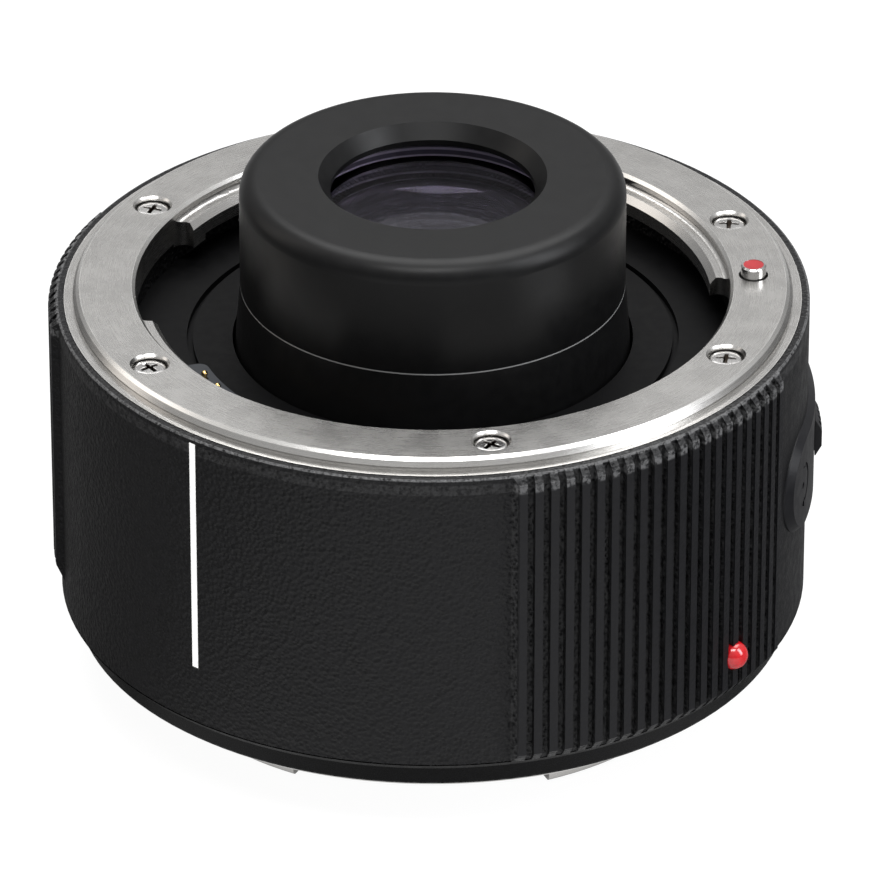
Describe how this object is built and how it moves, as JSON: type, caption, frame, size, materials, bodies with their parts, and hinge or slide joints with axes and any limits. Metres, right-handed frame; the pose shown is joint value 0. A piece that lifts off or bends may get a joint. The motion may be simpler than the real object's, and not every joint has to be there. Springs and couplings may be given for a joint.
{
  "type": "camera teleconverter",
  "caption": "Short black barrel that fits between a camera body and a lens, with a bayonet mount at each end, a lock pin with its release slider, sprung contacts and a glass group inside.",
  "frame": {"origin": "centre of the camera-side flange seat, on the optical axis", "axes": "+Z along the optical axis towards the lens side, +X towards the lock pin and the release slider, right-handed"},
  "size_m": [0.0762, 0.074, 0.0538],
  "materials": {
    "grained_black_paint": "fine leather-like grained black paint",
    "gloss_black_paint": "smooth semi-gloss black",
    "satin_black_metal": "satin black",
    "release_black": "smooth satin black",
    "satin_steel": "satin, finely sanded",
    "bright_steel": "bright",
    "spring_steel": "bright",
    "black_steel_screw": "black oxide",
    "matte_black_floor": "matte",
    "contact_plastic": "matte blue-black",
    "gold_plate": "gold plated",
    "white_paint": "white filled line",
    "red_plastic": "gloss red",
    "red_enamel": "red enamel",
    "coated_glass": "anti-reflection coated",
    "black_aluminium": "black anodised",
    "cast_aluminium": "machined",
    "brass_shim": "rolled",
    "green_board": "solder mask",
    "chip_black": "matte",
    "socket_plastic": "matte",
    "amber_film": "polyimide film"
  },
  "bodies": {
    "converter": {"main_barrel": "grained_black_paint", "index_line": "white_paint", "index_dot": "red_plastic", "release_plate": "release_black", "release_plate_screws": "black_steel_screw", "lens_mount_ring": "satin_steel", "lens_mount_screws": "bright_steel", "mount_shim_ring": "brass_shim", "mount_leaf_springs": "spring_steel", "floor_plate": "matte_black_floor", "floor_screws": "black_steel_screw", "lock_pin_bracket": "bright_steel", "bracket_screws": "bright_steel", "lock_pin_spring": "spring_steel", "front_contact_block": "contact_plastic", "contact_board": "green_board", "contact_block_screws": "black_steel_screw", "contact_springs": "spring_steel", "front_nose": "satin_black_metal", "nose_sleeve": "satin_black_metal", "lens_cell": "black_aluminium", "lens_cell_screws": "black_steel_screw", "rear_cover_ring": "gloss_black_paint", "chassis_ring": "cast_aluminium", "mount_spacer_ring": "cast_aluminium", "chassis_screws": "bright_steel", "camera_mount_ring": "satin_steel", "camera_mount_screws": "bright_steel", "rear_contact_block": "contact_plastic", "rear_contact_pads": "gold_plate", "rear_contact_screws": "black_steel_screw", "rear_light_baffle": "matte_black_floor", "throat_liner": "matte_black_floor", "baffle_screws": "black_steel_screw", "circuit_board": "green_board", "board_screws": "bright_steel", "board_chips": "chip_black", "flex_connectors": "socket_plastic", "flex_cables": "amber_film", "front_retaining_ring": "black_aluminium", "front_spacer_ring": "black_aluminium", "long_spacer_tube": "black_aluminium", "rear_spacer_ring": "black_aluminium", "rear_retaining_ring": "black_aluminium", "lens_element_1": "coated_glass", "lens_element_2": "coated_glass", "lens_element_3": "coated_glass", "lens_element_4": "coated_glass", "lens_element_5": "coated_glass", "lens_element_6": "coated_glass", "lens_element_7": "coated_glass", "lens_element_8": "coated_glass"},
    "release_slider": {"release_knob": "release_black", "release_slider": "bright_steel", "knob_screw": "bright_steel"},
    "lock_pin": {"lock_pin": "bright_steel", "lock_pin_enamel": "red_enamel", "lock_cross_pin": "bright_steel"},
    "contact_pins": {"contact_pins": "gold_plate"}
  },
  "joints": [
    {"name": "release_slide", "type": "hinge", "parent": "converter", "child": "release_slider", "pos_m": [0, 0, 0.01905], "axis": [0, 0, -1], "range_deg": [0, 4.6], "stiffness_Nm_per_rad": 0.155, "springref_deg": -4.6},
    {"name": "lock_pin_slide", "type": "slide", "parent": "converter", "child": "lock_pin", "axis": [0, 0, -1], "range_m": [0, 0.002], "deforming": ["lock_pin_spring"]},
    {"name": "contact_pins_slide", "type": "slide", "parent": "converter", "child": "contact_pins", "axis": [0, 0, -1], "range_m": [0, 0.0009], "stiffness_N_per_m": 2500, "springref_m": -0.0003, "deforming": ["contact_springs"]}
  ],
  "couplings": [
    {"joint": "lock_pin_slide", "follows": "release_slide", "m_per_rad": 0.0249}
  ]
}
